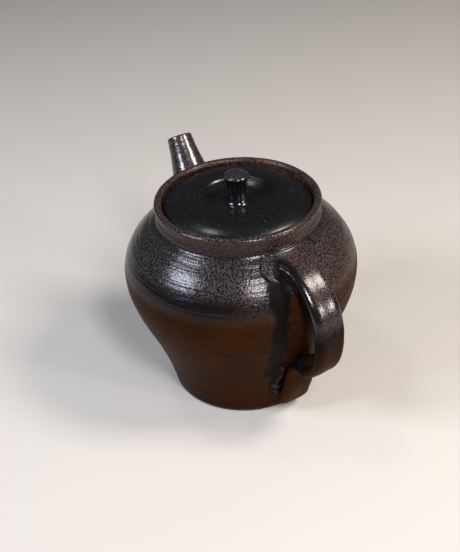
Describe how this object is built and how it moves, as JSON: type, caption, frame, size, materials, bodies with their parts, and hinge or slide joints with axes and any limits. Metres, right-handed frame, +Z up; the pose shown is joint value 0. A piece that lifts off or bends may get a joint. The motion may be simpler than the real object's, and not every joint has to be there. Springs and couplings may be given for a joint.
{
  "type": "teapot",
  "caption": "Round thrown stoneware teapot with a collar, drop-in lid with knob, short steep spout opposite a pulled strap handle.",
  "frame": {"origin": "centre of the foot, on the surface the teapot stands on", "axes": "+Z up along the pot's turning axis; +X towards the spout (set 5.5 degrees off it); the handle stands along -X"},
  "size_m": [0.157, 0.13, 0.1298],
  "materials": {
    "pot_glaze": "satin",
    "spout_glaze": "satin",
    "inner_glaze": "satin",
    "handle_glaze": "satin",
    "lid_glaze": "satin",
    "knob_glaze": "gloss",
    "bare_stoneware": "matte"
  },
  "bodies": {
    "vessel": {"pot": "pot_glaze", "spout": "spout_glaze", "strainer": "inner_glaze", "handle": "handle_glaze"},
    "lid_set": {"lid": "lid_glaze", "lid_flange": "bare_stoneware", "knob": "knob_glaze"}
  },
  "joints": [
    {"name": "lid_lift", "type": "slide", "parent": "vessel", "child": "lid_set", "axis": [0, 0, 1], "range_m": [0, 0.06]}
  ]
}
